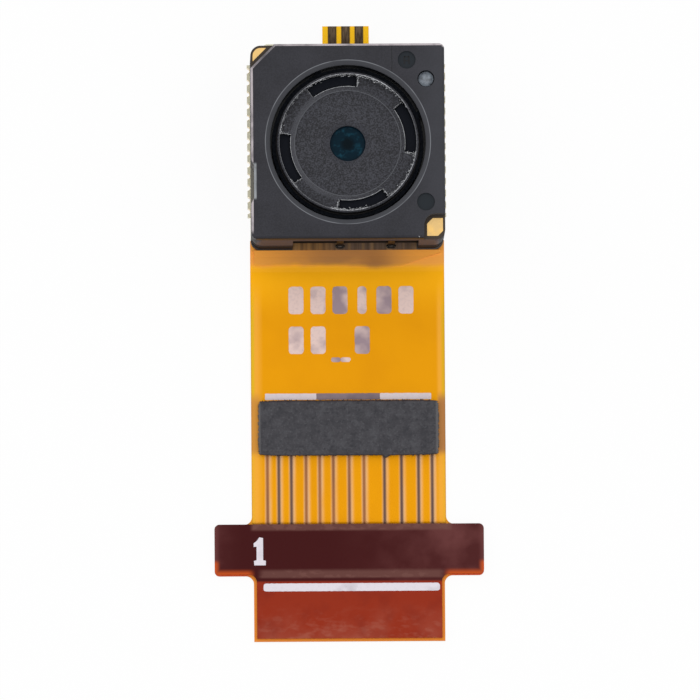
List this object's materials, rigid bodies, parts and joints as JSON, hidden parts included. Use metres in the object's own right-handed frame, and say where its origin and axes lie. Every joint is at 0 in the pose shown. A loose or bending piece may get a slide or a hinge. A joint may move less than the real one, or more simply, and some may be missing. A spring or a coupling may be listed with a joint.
{
  "type": "autofocus camera module",
  "caption": "Square autofocus camera module with a round black lens, on a flat amber flexible circuit that ends in a plug-in tongue with locking ears.",
  "frame": {"origin": "where the optical axis meets the module's back face", "axes": "+Z along the optical axis, out of the lens; the flexible circuit leaves along -Y; +X to the right seen from the front with the circuit pointing down"},
  "size_m": [0.0118, 0.0272, 0.0049],
  "materials": {
    "stainless_plate": "fine brushed",
    "amber_film": "smooth satin polyimide",
    "copper_foil": "etched foil under film",
    "amber_coverlay": "clear amber film",
    "dark_contacts": "dark plated",
    "gold_plating": "gold plated",
    "red_brown_stiffener": "smooth thick polyimide",
    "grey_foam": "fine-grained soft face",
    "brown_glue": "cured glue",
    "circuit_board": "solder resist on glass laminate",
    "silicon": "polished die",
    "gold_wire": "drawn wire",
    "ceramic_chip": "fired ceramic",
    "black_plastic": "fine moulded",
    "filter_glass": "coated glass",
    "tinned_metal": "tinned",
    "spring_bronze": "etched sheet",
    "yoke_steel": "deep drawn, plated",
    "magnet": "nickel plated",
    "black_cover_plastic": "fine spark-eroded mould surface",
    "pale_post": "smooth dome",
    "coil_copper": "wound enamelled wire",
    "black_barrel_plastic": "fine-grained moulded",
    "coated_lens": "anti-reflection coated",
    "lens_plastic": "clear moulded",
    "black_shield_film": "matt black film"
  },
  "bodies": {
    "module": {"back_stiffener": "stainless_plate", "flex_film": "amber_film", "copper_traces": "copper_foil", "coverlay": "amber_coverlay", "tab_contacts": "dark_contacts", "contact_fingers": "gold_plating", "tail_stiffener": "red_brown_stiffener", "foam_pad": "grey_foam", "edge_glue": "brown_glue", "sensor_board": "circuit_board", "board_edge_pads": "gold_plating", "image_sensor": "silicon", "bond_wires": "gold_wire", "board_capacitors": "ceramic_chip", "driver_chip": "silicon", "filter_holder": "black_plastic", "ir_filter": "filter_glass", "actuator_base": "black_plastic", "actuator_terminals": "tinned_metal", "lower_spring": "spring_bronze", "actuator_frame": "black_plastic", "yoke": "yoke_steel", "magnets": "magnet", "upper_spring": "spring_bronze", "corner_contacts": "gold_plating", "cover": "black_cover_plastic", "cover_post": "pale_post"},
    "lens": {"lens_carrier": "black_plastic", "coil": "coil_copper", "lens_barrel": "black_barrel_plastic", "lens_1": "coated_lens", "lens_2": "lens_plastic", "lens_3": "lens_plastic", "lens_4": "lens_plastic", "light_shields": "black_shield_film", "retainer_ring": "black_barrel_plastic"}
  },
  "joints": [
    {"name": "focus_slide", "type": "slide", "parent": "module", "child": "lens", "axis": [0, 0, 1], "range_m": [0, 0.00025], "stiffness_N_per_m": 50, "springref_m": -0.0001, "deforming": ["lower_spring", "upper_spring"]}
  ]
}
